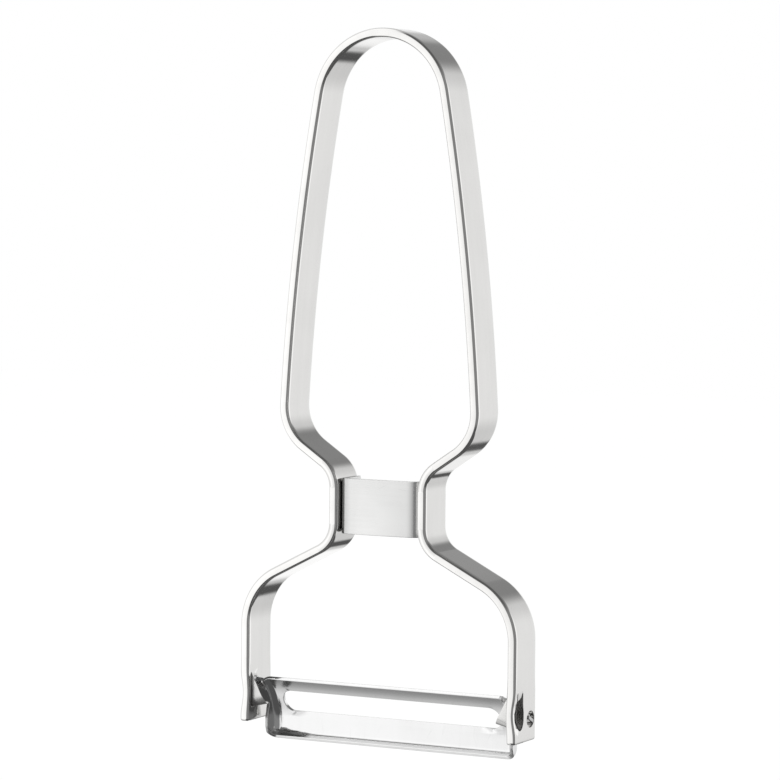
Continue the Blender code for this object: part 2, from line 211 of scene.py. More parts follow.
def blank(outline, holes, fill, thickness, rim, cut_end=()):
    """Points (along, across, through) and faces of a sheet.

    The outline is a loop, or an open line whose two ends the points of cut_end join. Each hole is a
    pair of a loop and its rim. A rim is how far its round reaches over the face, as one length or
    one for each point, and how far it drops. Fill is the points that the faces need between loops.
    """
    points, faces = [], []
    closed = len(cut_end) == 0
    plan, loops, links = [], [], []
    bordered = [(outline, rim, closed)] + [(*hole, True) for hole in holes]
    for loop, (reach, drop), is_closed in bordered:
        rings = []
        for side in (1, -1):
            for step in range(RIM_STEPS + 1):
                angle = RIGHT_ANGLE * step / RIM_STEPS
                ring = inset(loop, np.asarray(reach) * (1.0 - math.sin(angle)), is_closed)
                through = side * (thickness / 2 - drop * (1.0 - math.cos(angle)))
                rings.append([(*point, through) for point in ring])
        rings = rings[:RIM_STEPS + 1] + rings[RIM_STEPS + 1:][::-1]
        first = len(points)
        size = len(loop)
        for ring in rings:
            points += ring
        for row in range(len(rings) - 1):
            for n in range(size if is_closed else size - 1):
                a, b = first + row * size + n, first + row * size + (n + 1) % size
                faces.append((a, b, b + size, a + size))
        flat = [len(plan) + n for n in range(size)]
        plan += [point[:2] for point in rings[0]]
        links += list(zip(flat, flat[1:]))
        if is_closed:
            links.append((flat[-1], flat[0]))
            loops.append([plan[n] for n in flat])
        else:
            bridge = [flat[-1], *range(len(plan), len(plan) + len(cut_end)), flat[0]]
            plan += list(cut_end)
            links += list(zip(bridge, bridge[1:]))
            loops.append([plan[n] for n in flat] + list(cut_end))
    fill = np.asarray(fill, float)
    margin = [inset(loop, FILL_MARGIN, True) for loop in loops]
    fill = fill[inside(fill, margin)]
    plan += [tuple(point) for point in fill]
    made, _, triangles, *_ = delaunay_2d_cdt([Vector(p) for p in plan], links, [], 0, SAME_POINT)
    made = [tuple(point) for point in made]
    middles = [np.mean([made[n] for n in triangle], axis=0) for triangle in triangles]
    kept = [t for t, good in zip(triangles, inside(middles, loops)) if good]
    for side in (1, -1):
        first = len(points)
        points += [(*point, side * thickness / 2) for point in made]
        faces += [tuple(first + n for n in triangle[::side]) for triangle in kept]
    return points, faces


# %% [markdown]
# A blank becomes an object in one place: the points go through the piece's own bending rule, the
# rims are welded to the faces, and pairs of triangles are joined to four-sided faces again. The
# flat position is kept as a UV map, in metres, so that grain can follow the metal round each bend.
# A mirrored half gets its grain from another part of the pattern, so the two halves differ.

# %% From a blank to an object
WELD = 0.004 * MM
RIM_DEPTH = 0.1 * MM
FLAT_ENOUGH, SQUARE_ENOUGH = math.radians(3), math.radians(50)
MIRROR_GRAIN = 0.37
FACE_WEIGHT = 90


def everywhere(along, over):
    """Every cut is left rough."""
    return True


def nowhere(along, over):
    """No cut is left rough."""
    return False


def new_object(name, data):
    """An object with this data, linked into the scene."""
    item = bpy.data.objects.new(name, data)
    bpy.context.scene.collection.objects.link(item)
    return item


def bent_object(name, flat, bend, mirrored, is_sheared):
    """An object from a blank's points and faces. Bend moves a list of flat points to their place.

    Is_sheared says for a flat place whether the cut there is left rough from the shear.
    """
    points, faces = flat
    flat_points = np.asarray(points, float)
    skin = np.max(np.abs(flat_points[:, 2]))
    placed = bend(flat_points.tolist())
    bm = bmesh.new()
    across = bm.verts.layers.float_vector.new("flat")
    verts = []
    for place, start in zip(placed, flat_points):
        vert = bm.verts.new(place)
        vert[across] = start
        verts.append(vert)
    for face in faces:
        bm.faces.new([verts[n] for n in face])
    bmesh.ops.remove_doubles(bm, verts=bm.verts, dist=WELD)
    loose = [vert for vert in bm.verts if not vert.link_faces]
    bmesh.ops.delete(bm, geom=loose, context="VERTS")
    bmesh.ops.recalc_face_normals(bm, faces=bm.faces)
    bmesh.ops.join_triangles(
        bm, faces=bm.faces, cmp_seam=False, angle_face_threshold=FLAT_ENOUGH,
        angle_shape_threshold=SQUARE_ENOUGH)
    grain = bm.loops.layers.uv.new("grain")
    for face in bm.faces:
        for loop in face.loops:
            along, over, through = loop.vert[across]
            loop[grain].uv = (along, over + math.copysign(skin - abs(through), over))
    rim = bm.verts.layers.float.new("rim")
    sheared = bm.verts.layers.float.new("sheared")
    for vert in bm.verts:
        vert[rim] = min(1.0, (skin - abs(vert[across].z)) / RIM_DEPTH)
        vert[sheared] = vert[rim] * is_sheared(vert[across].x, vert[across].y)
    mesh = bpy.data.meshes.new(name)
    bm.to_mesh(mesh)
    bm.free()
    mesh.shade_smooth()
    item = new_object(name, mesh)
    if mirrored:
        mirror = item.modifiers.new("other half", "MIRROR")
        mirror.merge_threshold = WELD
        mirror.use_clip = True
        mirror.offset_u = MIRROR_GRAIN
    weighted = item.modifiers.new("clean normals", "WEIGHTED_NORMAL")
    weighted.weight = FACE_WEIGHT
    print(f"{name}: {len(mesh.vertices)} points, {len(mesh.polygons)} faces")
    return item


def grid(along, across):
    """Every pair of these two lists, as points."""
    return [(a, b) for a in along for b in across]


# %% [markdown]
# Near each foot the strip is pierced twice: a round hole that carries the blade, and a slit shaped
# like a U. The tongue inside the slit is pushed inwards and stops the blade. Slit and tongue are
# one hole of the blank, so the tongue stays joined to the leg at its top, as the real one does. The
# slit narrows there, which is given as pairs of a height and a half width.

# %% Places of the slit, the tongue and the hole
WINDOW_MIDDLE = strip_low.y + 2.85 * MM
WINDOW_FOOT = 3.0 * MM
WINDOW_TOP = WINDOW_FOOT + 8.4 * MM
WINDOW_HALF = 1.75 * MM
SLIT_HALF = 1.38 * MM
SLIT_OPENING = [(10.0 * MM, 1.4 * MM), (9.0 * MM, 1.44 * MM), (8.0 * MM, 1.55 * MM)]
SLIT_OPEN = 7.0 * MM
TONGUE_HALF = 1.35 * MM
TONGUE_FOOT = WINDOW_TOP - 8.2 * MM
ROUND_HEIGHT = 2.6 * MM
ROUND_STEPS = 24

PIVOT = Vector((0.0, strip_low.y + 8.2 * MM, STRIP_FOOT + 5.0 * MM))
HOLE_RADIUS = 1.86 * MM
HOLE_CORNERS = 48
print(f"slit {(WINDOW_TOP - WINDOW_FOOT) / MM:.1f} mm high, hole {2 * HOLE_RADIUS / MM:.2f} mm wide")

# %% [markdown]
# The strip's rim is rounder along the grip than beside the slit, where the front bar is narrow. The
# outline's own points decide how fine the rim is, and a grid of points fills the face between.

# %% The strip's blank
PIERCED_RIM = (0.12 * MM, 0.14 * MM)
RIM_REACH, RIM_REACH_AT_FOOT, RIM_DROP = 1.1 * MM, 0.6 * MM, 0.5 * MM
RIM_CHANGE = 4.0 * MM
FOOT_CORNER = 0.6 * MM
CORNER_STEPS = 6
CLEAR_OF_CORNER = 0.9 * MM
LEG_STEP = 0.6 * MM

half_width = STRIP_WIDTH / 2
end = strip_line.length
rows = strip_line.stations(math.radians(2.5), 4.0 * MM)
leg_rows = [row for row in rows if row > LEG_LENGTH - 0.1 * MM]
front_rows = [LEG_STEP * n for n in range(1, int(LEG_LENGTH / LEG_STEP))] + leg_rows


def foot_corner(side):
    """A foot's corner, rounded in the plane of the sheet."""
    for n in range(CORNER_STEPS + 1):
        angle = RIGHT_ANGLE * n / CORNER_STEPS
        yield (FOOT_CORNER - FOOT_CORNER * math.sin(angle),
               side * (half_width - FOOT_CORNER + FOOT_CORNER * math.cos(angle)))


def tab(half, top, foot_at):
    """Outline of a tab hanging from the top, square there and with half an ellipse for its foot."""
    line = [(top, WINDOW_MIDDLE - half)]
    for n in range(ROUND_STEPS + 1):
        turn = math.pi * n / ROUND_STEPS
        rise = ROUND_HEIGHT * (1.0 - math.sin(turn))
        line.append((foot_at + rise, WINDOW_MIDDLE - half * math.cos(turn)))
    return line + [(top, WINDOW_MIDDLE + half)]


def circle(centre, radius, corners):
    """A clockwise loop, so that the steel is on its left."""
    turns = [-2 * math.pi * n / corners for n in range(corners)]
    return [(centre[0] + radius * math.cos(t), centre[1] + radius * math.sin(t)) for t in turns]


def rim_reach(along):
    """How far the strip's rim reaches over its face at this distance from the foot."""
    part = min(max((along - WINDOW_TOP) / RIM_CHANGE, 0.0), 1.0)
    return RIM_REACH_AT_FOOT + (RIM_REACH - RIM_REACH_AT_FOOT) * part


far = [(row, half_width) for row in reversed(front_rows) if row > CLEAR_OF_CORNER]
near = [(row, -half_width) for row in front_rows if row > CLEAR_OF_CORNER]
across_foot = [(0.0, -y * MM) for y in range(-4, 5)]
corner = [list(foot_corner(side)) for side in (1, -1)]
strip_outline = far + corner[0] + across_foot + corner[1][::-1] + near
tongue_outline = tab(TONGUE_HALF, WINDOW_TOP, TONGUE_FOOT)
strip_rim = ([rim_reach(along) for along, _ in strip_outline], RIM_DROP)
slit = [(WINDOW_TOP, WINDOW_MIDDLE - SLIT_HALF)]
slit += [(height, WINDOW_MIDDLE - reach) for height, reach in SLIT_OPENING]
slit += tab(WINDOW_HALF, SLIT_OPEN, WINDOW_FOOT)
slit += [(height, WINDOW_MIDDLE + reach) for height, reach in reversed(SLIT_OPENING)]
slit += [(WINDOW_TOP, WINDOW_MIDDLE + SLIT_HALF)] + tongue_outline[::-1]
pivot_hole = circle((PIVOT.z - STRIP_FOOT, PIVOT.y), HOLE_RADIUS, HOLE_CORNERS)
across = np.linspace(-4.0 * MM, 4.0 * MM, 7)
fill = grid(np.arange(LEG_STEP, LEG_LENGTH, LEG_STEP), np.arange(-5.0, 5.01, 0.5) * MM)
fill += grid([row for row in leg_rows if row < end], across)
strip_blank = blank(
    strip_outline, [(slit, PIERCED_RIM), (pivot_hole, PIERCED_RIM)], fill,
    STRIP_THICKNESS, strip_rim, [(end, y) for y in across])
print(len(strip_blank[0]), "points in the strip's blank")

# %% [markdown]
# Bending is a rule for one point: how far along the strip it lies gives the place and the heading,
# and its depth in the sheet is measured square to that heading. The tongue has a line of its own,
# which leaves the leg at the slit's top and leans inwards. Piercing also pushes in the leg's thin
# front bar, so it gets a shallow dent.

# %% Bend the strip
TONGUE_BEND, TONGUE_TURN, TONGUE_ROOT = 1.0 * MM, math.radians(28.5), 1.2 * MM
DENT_MIDDLE, DENT_REACH, DENT_DEPTH = 6.7 * MM, 5.6 * MM, 0.65 * MM
DENT_INNER_EDGE, DENT_SIDE = WINDOW_MIDDLE - WINDOW_HALF + 0.8 * MM, 0.9 * MM
DENT_INSIDE = 0.3
TONGUE_SLACK, ROUGH_ABOVE, ROUGH_BESIDE = 0.02 * MM, 0.3 * MM, 0.1 * MM

tongue_line = BentLine(0.0, 0.0, 0.0)
tongue_line.bend(TONGUE_BEND + half, TONGUE_TURN).run(12 * MM)


def dent(along, over, through):
    """How far the pierced leg's front bar is pushed inwards, most on its outer side."""
    away = abs(along - DENT_MIDDLE) / DENT_REACH
    if away >= 1.0:
        return 0.0
    from_front = min(max((DENT_INNER_EDGE - over) / DENT_SIDE, 0.0), 1.0)
    outer = DENT_INSIDE + (1.0 - DENT_INSIDE) * (through + half) / STRIP_THICKNESS
    return DENT_DEPTH * math.cos(RIGHT_ANGLE * away) ** 2 * from_front * outer


def bend_strip(points):
    """Every point of the strip's blank at its place on the bent strip or on the tongue."""
    loop = [inset(tongue_outline, -TONGUE_SLACK, False)]
    on_tongue = inside([point[:2] for point in points], loop)
    placed = []
    for (along, over, through), flap in zip(points, on_tongue):
        if flap:
            gone = WINDOW_TOP - along
            leaning = max(0.0, gone - TONGUE_ROOT) / (WINDOW_TOP - TONGUE_FOOT - TONGUE_ROOT)
            down, inwards, lean = tongue_line.at(gone - through * math.tan(TONGUE_TURN) * leaning)
            x = leg_half - inwards + through * math.cos(lean)
            z = STRIP_FOOT + WINDOW_TOP - down - through * math.sin(lean)
        else:
            x, z, heading = strip_line.at(along)
            x += through * math.sin(heading) - dent(along, over, through)
            z -= through * math.cos(heading)
        placed.append((x, over, z))
    return placed


def in_window(along, over):
    """Whether the place is on the slit or the tongue, whose cuts stay rough."""
    away = abs(over - WINDOW_MIDDLE)
    return along < WINDOW_TOP + ROUGH_ABOVE and away < WINDOW_HALF + ROUGH_BESIDE


handle = bent_object("handle_strip_bent", strip_blank, bend_strip, True, in_window)
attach(handle, "handle")
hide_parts("handle_strip")

# %% [markdown]
# The waist holds a short channel of thinner sheet. Its web faces the front and its flanges lie
# against the strip. Its blank is a plain rectangle, bent twice. The web isn't quite flat: it is
# cambered, and bowed more beside each bend, and that is what shades it from left to right.

# %% The spacer
SPACER_SHEET = 1.2 * MM
SPACER_HALF_HEIGHT = 6.4 * MM
SPACER_CORNER = 0.3 * MM
SPACER_RIM = (0.15 * MM, 0.15 * MM)
WELD_SEAM = 0.03 * MM
CAMBER, CAMBER_RADIUS = math.radians(3.2), 126.0 * MM
BOW, BOW_RADIUS, CHANNEL_BEND = math.radians(9.0), 8.0 * MM, 1.2 * MM

spacer_low, spacer_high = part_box("waist_spacer")
web_middle = spacer_low.y + SPACER_SHEET / 2
flange_middle = WAIST_INSIDE / 2 - WELD_SEAM - SPACER_SHEET / 2
web_turn = CAMBER + BOW
camber_width = CAMBER_RADIUS * math.sin(CAMBER)
bow_width = BOW_RADIUS * (math.sin(web_turn) - math.sin(CAMBER))
bow_width += CHANNEL_BEND * (1.0 - math.sin(web_turn))
channel = BentLine(0.0, web_middle, 0.0)
channel.bend(CAMBER_RADIUS, CAMBER)
channel.run((flange_middle - camber_width - bow_width) / math.cos(CAMBER))
channel.bend(BOW_RADIUS, BOW).bend(CHANNEL_BEND, RIGHT_ANGLE - web_turn)
channel.run(spacer_high.y - channel.end[1])

marks = channel.stations(math.radians(7.5), 1.0 * MM)
top, bottom = SPACER_HALF_HEIGHT, -SPACER_HALF_HEIGHT
side_marks = [row for row in marks if row < channel.length - 0.5 * MM]
heights = [n * MM for n in range(-5, 6)]
short = channel.length - SPACER_CORNER
outline = [(row, bottom) for row in side_marks]
outline += [(short, bottom), (channel.length, bottom + SPACER_CORNER)]
outline += [(channel.length, height) for height in heights]
outline += [(channel.length, top - SPACER_CORNER), (short, top)]
outline += [(row, top) for row in reversed(side_marks)]
spacer_blank = blank(outline, [], grid(marks, heights), SPACER_SHEET, SPACER_RIM,
                     [(0.0, height) for height in reversed(heights)])


def bend_channel(points):
    """Every point of the spacer's blank at its place on the channel."""
    placed = []
    for along, over, through in points:
        x, y, heading = channel.at(along)
        x += through * math.sin(heading)
        y -= through * math.cos(heading)
        placed.append((x, y, waist_middle + over))
    return placed


spacer = bent_object("waist_spacer_bent", spacer_blank, bend_channel, True, nowhere)
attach(spacer, "handle")
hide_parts("waist_spacer")

# %% [markdown]
# The blade is pressed from one plate, hollow to the front. From the top edge down it is a bar, the
# long slot, the plate, and a lip folded forwards. Both ends are turned forwards as ears. The blank
# is drawn along the section and across the width, and the ears' ends follow a curve of their own.
# Heights and depths are measured from the pivot. A front reach is how far before it the ear ends.

# %% The blade's section and ears
BLADE_SHEET = 0.8 * MM
BLADE_SIDE_GAP = 1.2 * MM
TOP_FORWARD, TOP_HEIGHT, TOP_SLOPE = 4.2 * MM, 4.7 * MM, math.radians(39.0)
PLATE_RADIUS, PLATE_TURN = 14.6 * MM, math.radians(51.8)
LIP_RADIUS, LIP_TURN, LIP_LENGTH = 2.0 * MM, math.radians(63.0), 0.75 * MM
EAR_BEND = 1.5 * MM
EAR_FOOT_FORWARD = 1.7 * MM
EAR_LEAST = 0.8 * MM
EAR_FRONT_HEIGHTS = (-4.0 * MM, -0.5 * MM, 1.7 * MM)
EAR_FRONT_REACHES = (2.2 * MM, 1.4 * MM, 3.6 * MM)
ear_wall = LEG_INSIDE / 2 - BLADE_SIDE_GAP - BLADE_SHEET

section = BentLine(-TOP_FORWARD, TOP_HEIGHT, -TOP_SLOPE)
section.bend(PLATE_RADIUS, -PLATE_TURN)
plate_length = section.length
section.bend(LIP_RADIUS, -LIP_TURN).run(LIP_LENGTH)


def ear_rise(along):
    """From the section's hollow side to the ear's free edge, as a vector (y, z)."""
    y, z, heading = section.at(min(along, plate_length))
    hollow = Vector((math.sin(heading), -math.cos(heading)))
    forward = float(np.interp(z, EAR_FRONT_HEIGHTS, EAR_FRONT_REACHES))
    depth = max((-forward - y) / hollow.x, EAR_LEAST)
    if along <= plate_length:
        return depth * hollow
    last = Vector((y, z)) + depth * hollow
    foot = Vector(section.end[:2]) + Vector((0.0, EAR_LEAST))
    foot.x = min(foot.x, -EAR_FOOT_FORWARD)
    part = (along - plate_length) / (section.length - plate_length)
    y, z, _ = section.at(along)
    return last.lerp(foot, part) - Vector((y, z))


def ear_length(along):
    """How far across the blank the sheet reaches at this place of the section."""
    depth = ear_rise(along).length
    turn = math.acos(max(0.0, 1.0 - depth / EAR_BEND))
    return ear_wall - EAR_BEND + EAR_BEND * turn + max(0.0, depth - EAR_BEND)


def along_at(height):
    """Place on the section at this height above the pivot, by halving."""
    low, high = 0.0, section.length
    for _ in range(40):
        middle = (low + high) / 2
        low, high = (middle, high) if section.at(middle)[1] > height else (low, middle)
    return low


print(f"blade section {section.length / MM:.1f} mm, ears reach {ear_length(0.0) / MM:.1f} mm")

# %% [markdown]
# The slot's heights are given on the pressed blade, so its ends are found on the section first. The
# blank is divided finely at its ends, because the ears are bent there.

# %% The slot and the rows of the blade's blank
SLOT_HALF = 56.6 * MM / 2
SLOT_RADIUS = 2.575 * MM
SLOT_MIDDLE = -0.625 * MM
PLATE_STEP = 1.5 * MM
EAR_STEPS = 13

slot_end = []
for n in range(ROUND_STEPS + 1):
    turn = math.pi * n / ROUND_STEPS
    reach = SLOT_HALF - SLOT_RADIUS * (1.0 - math.sin(turn))
    slot_end.append((along_at(SLOT_MIDDLE - SLOT_RADIUS * math.cos(turn)), reach))
edge_along, bar_along = slot_end[0][0], slot_end[-1][0]

plate_half = ear_wall - EAR_BEND - 1.0 * MM
across = [PLATE_STEP * n for n in range(int(plate_half / PLATE_STEP) + 1)]
ear_marks = [n / EAR_STEPS for n in range(EAR_STEPS + 1)]
rows = section.stations(math.radians(4.0), 0.6 * MM)


def ear_steps(along):
    """Points across the bent end of one row, from the flat plate to just short of the free edge."""
    return [plate_half + (ear_length(along) - plate_half) * mark for mark in ear_marks]


free_edge = [(row, ear_length(row)) for row in np.linspace(0.0, section.length, 45)]
top_edge = [(0.0, reach) for reach in [*across[1:], *ear_steps(0.0)[:-1]]]
lip_edge = [(section.length, reach) for reach in [*across[1:], *ear_steps(section.length)[:-1]]]
print(len(rows), "rows in the section,", len(free_edge), "points down the ear")

# %% [markdown]
# The outline runs from the lip up one ear, along the top and down the other. Its four corners are
# rounded. The ground edge gets two rows of its own, so that the bevel starts sharply.

# %% The blade's blank
BLADE_RIM, SLOT_RIM = (0.2 * MM, 0.15 * MM), (0.08 * MM, 0.08 * MM)
BLADE_CORNER = 0.5 * MM
GRIND = 1.2 * MM
CREASE, CLEAR_OF_CREASE = 0.03 * MM, 0.2 * MM


def rounded(points, corners, radius):
    """The closed loop with each named corner replaced by a round of about this radius."""
    result = []
    for n, point in enumerate(points):
        if n not in corners:
            if all(math.dist(point, points[c]) > radius for c in corners):
                result.append(point)
            continue
        here = Vector(point)
        sides = [Vector(points[(n + step) % len(points)]) - here for step in (-1, 1)]
        first, last = (here + radius * side.normalized() for side in sides)
        for step in range(CORNER_STEPS + 1):
            part = step / CORNER_STEPS
            result.append(tuple(first.lerp(here, part).lerp(here.lerp(last, part), part)))
    return result


right_ear = [(row, ear_length(row)) for row, _ in reversed(free_edge)]
blade_outline = [(along, -reach) for along, reach in reversed(lip_edge)]
blade_outline += [(section.length, 0.0)] + lip_edge
corners = [len(blade_outline)]
blade_outline += right_ear
corners.append(len(blade_outline) - 1)
blade_outline += top_edge[::-1] + [(0.0, 0.0)] + [(along, -reach) for along, reach in top_edge]
corners.append(len(blade_outline))
blade_outline += [(along, -reach) for along, reach in reversed(right_ear)]
corners.append(len(blade_outline) - 1)
blade_outline = rounded(blade_outline, corners, BLADE_CORNER)

straight = [reach for reach in across if reach < SLOT_HALF - SLOT_RADIUS - 0.5 * MM]
straight = [-reach for reach in straight[:0:-1]] + straight
slot = slot_end[::-1] + [(edge_along, reach) for reach in reversed(straight)]
slot += [(along, -reach) for along, reach in slot_end] + [(bar_along, reach) for reach in straight]

fill = []
crease = [edge_along + GRIND - CREASE, edge_along + GRIND + CREASE]
clear_rows = [row for row in rows if all(abs(row - c) > CLEAR_OF_CREASE for c in crease)]
for row in sorted(clear_rows + crease):
    reaches = [*across, *ear_steps(row)]
    fill += [(row, reach) for reach in reaches] + [(row, -reach) for reach in reaches[1:]]
blade_blank = blank(blade_outline, [(slot, SLOT_RIM)], fill, BLADE_SHEET, BLADE_RIM)
print(len(blade_blank[0]), "points in the blade's blank")

# %% [markdown]
# One rule carries every point: along the section, and near an end also round the bend of the ear.
# Below the slot the sheet is ground thinner towards the cutting edge. The bar's top springs back a
# little from the press, and that turns its reflection down to the dark floor.

# %% Press the blade
EDGE_THICKNESS = 0.15 * MM
SPRING_WIDTH = 2.4 * MM
SPRING_BACK = 0.085 * MM


def press_blade(points):
    """Every point of the blade's blank at its place on the pressed blade."""
    placed = []
    for along, over, through in points:
        y, z, heading = section.at(along)
        back = Vector((-math.sin(heading), math.cos(heading)))
        rise = ear_rise(along)
        gone = max(0.0, abs(over) - (ear_wall - EAR_BEND))
        whole = EAR_BEND * math.acos(max(0.0, 1.0 - rise.length / EAR_BEND))
        turn = min(gone, whole) / EAR_BEND
        out = abs(over) if gone == 0.0 else ear_wall - EAR_BEND + EAR_BEND * math.sin(turn)
        off = EAR_BEND * (1.0 - math.cos(turn)) + max(0.0, gone - EAR_BEND * turn)
        depth = through + BLADE_SHEET / 2
        below = along - edge_along
        if -0.01 * MM < below < GRIND:
            run_out = min(max((SLOT_HALF - SLOT_RADIUS - abs(over)) / MM, 0.0), 1.0)
            thinnest = EDGE_THICKNESS / BLADE_SHEET
            left = thinnest + (1.0 - thinnest) * max(below, 0.0) / GRIND
            depth = BLADE_SHEET - (BLADE_SHEET - depth) * (1.0 - run_out * (1.0 - left))
        spring = SPRING_BACK * max(0.0, 1.0 - along / SPRING_WIDTH) ** 2
        place = Vector((y, z)) + off * rise.normalized()
        place += (depth + spring) * math.cos(turn) * back
        out += depth * math.sin(turn)
        placed.append((math.copysign(out, over), PIVOT.y + place.x, PIVOT.z + place.y))
    return placed


def on_ear(along, over):
    """Whether the place is near an ear's free edge, which stays rough."""
    return abs(over) > ear_wall


blade = bent_object("swivel_blade_pressed", blade_blank, press_blade, False, on_ear)
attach(blade, "blade")
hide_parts("swivel_blade")

# %% [markdown]
# The blade has no pin. A flat lug on each ear leans back and turns in the leg's round hole, and its
# end stands a little proud of the leg. Both lugs are one object with a mirror, because they are the
# same tab seen from two sides.

# %% The lugs
LUG_WIDTH = 2.7 * MM
LUG_LEAN = math.radians(28.0)
LUG_CORNER = 0.3 * MM
LUG_RIM = (0.1 * MM, 0.1 * MM)
lug_start = ear_wall + 0.2 * MM
lug_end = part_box("swivel_blade")[1].x
lug_marks = np.linspace(lug_start, lug_end, 9)
lug_half = LUG_WIDTH / 2
lug_outline = [(mark, -lug_half) for mark in lug_marks] + [(lug_end, 0.0)]
lug_outline += [(mark, lug_half) for mark in reversed(lug_marks)] + [(lug_start, 0.0)]
last = len(lug_marks) - 1
lug_outline = rounded(lug_outline, [last, last + 2], LUG_CORNER)
lug_fill = grid(lug_marks, (-0.7 * MM, 0.0, 0.7 * MM))
lug_blank = blank(lug_outline, [], lug_fill, BLADE_SHEET, LUG_RIM)


def lean_lug(points):
    """Every point of the lug's blank, turned back about the pivot's axis."""
    lean = Matrix.Rotation(-LUG_LEAN, 3, "X")
    return [PIVOT + lean @ Vector(point) for point in points]


lugs = bent_object("pivot_lugs", lug_blank, lean_lug, True, everywhere)
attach(lugs, "blade")

# %% [markdown]
# Each ear ends in a small horn at its top. It reaches forwards over the leg's tongue, and coming to
# rest there stops the blade. Its shape is drawn from the side, in millimetres from the pivot.

# %% The horns
HORN_MIDDLE = ear_wall + BLADE_SHEET / 2
HORN_SHEET = 0.98 * BLADE_SHEET
HORN_STEP = 0.35 * MM
HORN_RIM = (0.08 * MM, 0.12 * MM)
horn_corners = [
    (-4.6, 5.05), (-6.4, 5.4), (-7.4, 5.85), (-7.85, 5.55), (-7.7, 4.9), (-6.9, 4.4),
    (-4.1, 4.3), (-3.68, 4.1), (-3.66, 1.0), (-3.1, 1.0), (-3.3, 3.1), (-3.4, 4.2), (-4.1, 4.75)]
horn_outline = []
for corner, following in zip(horn_corners, horn_corners[1:] + horn_corners[:1]):
    here, there = Vector(corner) * MM, Vector(following) * MM
    steps = max(1, round((there - here).length / HORN_STEP))
    horn_outline += [tuple(here.lerp(there, n / steps)) for n in range(steps)]
horn_blank = blank(horn_outline, [], [(-5.0 * MM, 5.0 * MM)], HORN_SHEET, HORN_RIM)


def place_horn(points):
    """Every point of the horn's blank, stood up in the plane of the ear."""
    return [(HORN_MIDDLE + through, PIVOT.y + y, PIVOT.z + z) for y, z, through in points]


horns = bent_object("ear_horns", horn_blank, place_horn, True, everywhere)
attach(horns, "blade")

# %% [markdown]
# Steel has hardly any colour of its own. What the eye reads as steel is the room in it, drawn out
# by fine grain. A few helpers keep the node trees short: one adds a node and fills its inputs, one
# does a sum, and one fades smoothly between two values.

# %% Node helpers
def add(tree, kind, settings=None, inputs=None):
    """A node with its settings made, and its inputs linked or filled by name or number."""
    made = tree.nodes.new("ShaderNode" + kind)
    for label, value in (settings or {}).items():
        setattr(made, label, value)
    for label, value in (inputs or {}).items():
        if isinstance(value, bpy.types.NodeSocket):
            tree.links.new(value, made.inputs[label])
        else:
            made.inputs[label].default_value = value
    return made


def maths(tree, operation, *values):
    """The result of one sum."""
    return add(tree, "Math", {"operation": operation}, dict(enumerate(values))).outputs[0]


def fade(tree, value, start, stop, low=0.0, high=1.0):
    """Low before start, high after stop, and a smooth step between them."""
    ends = {"Value": value, "From Min": start, "From Max": stop, "To Min": low, "To Max": high}
    return add(tree, "MapRange", {"interpolation_type": "SMOOTHSTEP"}, ends).outputs[0]


# %% [markdown]
# An effect that several finishes share is a node group. It is built once, and each material places
# it with values of its own.

# %% Group helpers
def new_group(name, inputs, outputs):
    """A node group. An input without a value is a vector."""
    group = bpy.data.node_groups.new(name, "ShaderNodeTree")
    for label, value in inputs.items():
        kind = "NodeSocketVector" if value is None else "NodeSocketFloat"
        socket = group.interface.new_socket(label, in_out="INPUT", socket_type=kind)
        if value is not None:
            socket.default_value = value
    for label in outputs:
        group.interface.new_socket(label, in_out="OUTPUT", socket_type="NodeSocketFloat")
    given = group.nodes.new("NodeGroupInput").outputs
    return group, given, group.nodes.new("NodeGroupOutput").inputs


def use_group(tree, group, inputs):
    """The outputs of the group, placed in this tree with these inputs."""
    return add(tree, "Group", {"node_tree": group}, inputs).outputs


# %% [markdown]
# Polishing belts leave fine lines along the strip. Noise gives them when it is stretched: many
# changes across the metal, few along it. The place comes from the flat blank's UV map, so the
# lines follow every bend.

# %% Grain
tree, given, result = new_group(
    "belt grain", {"Flat Place": None, "Line Width mm": 0.3, "Line Length mm": 12.0},
    ["Lines", "Bands"])
place = add(tree, "SeparateXYZ", inputs={0: given["Flat Place"]}).outputs
for label, finer in (("Lines", 1000.0), ("Bands", 150.0)):
    along = maths(tree, "MULTIPLY", place[0], finer)
    along = maths(tree, "DIVIDE", along, given["Line Length mm"])
    over = maths(tree, "MULTIPLY", place[1], finer)
    over = maths(tree, "DIVIDE", over, given["Line Width mm"])
    stretched = add(tree, "CombineXYZ", inputs={0: along, 1: over}).outputs[0]
    noise = add(tree, "TexNoise", {"noise_dimensions": "2D"},
                {"Vector": stretched, "Scale": 1.0, "Detail": 3.0, "Roughness": 0.6})
    tree.links.new(noise.outputs[0], result[label])
grain_group = tree
print(tree.name, "has", len(tree.nodes), "nodes")

# %% [markdown]
# A kitchen tool picks up short scratches. The flat sheet is cut into random cells, and each chosen
# cell holds one thin line through its middle, turned by that cell's own random angle.

# %% Scratches
tree, given, result = new_group("stray scratches", {
    "Flat Place": None, "Cell mm": 4.0, "Width mm": 0.05, "Share": 0.5, "Spread": 1.2}, ["Scratches"])
per_metre = maths(tree, "DIVIDE", 1 / MM, given["Cell mm"])
cells = add(tree, "TexVoronoi", {"voronoi_dimensions": "2D"},
            {"Vector": given["Flat Place"], "Scale": per_metre}).outputs
chance = add(tree, "SeparateColor", inputs={0: cells["Color"]}).outputs
local = add(tree, "VectorMath", {"operation": "SUBTRACT"},
            {0: given["Flat Place"], 1: cells["Position"]}).outputs[0]
turned = maths(tree, "MULTIPLY", maths(tree, "SUBTRACT", chance[0], 0.5), given["Spread"])
rotated = add(tree, "VectorRotate", {"rotation_type": "Z_AXIS"},
              {"Vector": local, "Angle": turned}).outputs[0]
sides = add(tree, "SeparateXYZ", inputs={0: rotated}).outputs
half_line = maths(tree, "DIVIDE", given["Width mm"], 2 / MM)
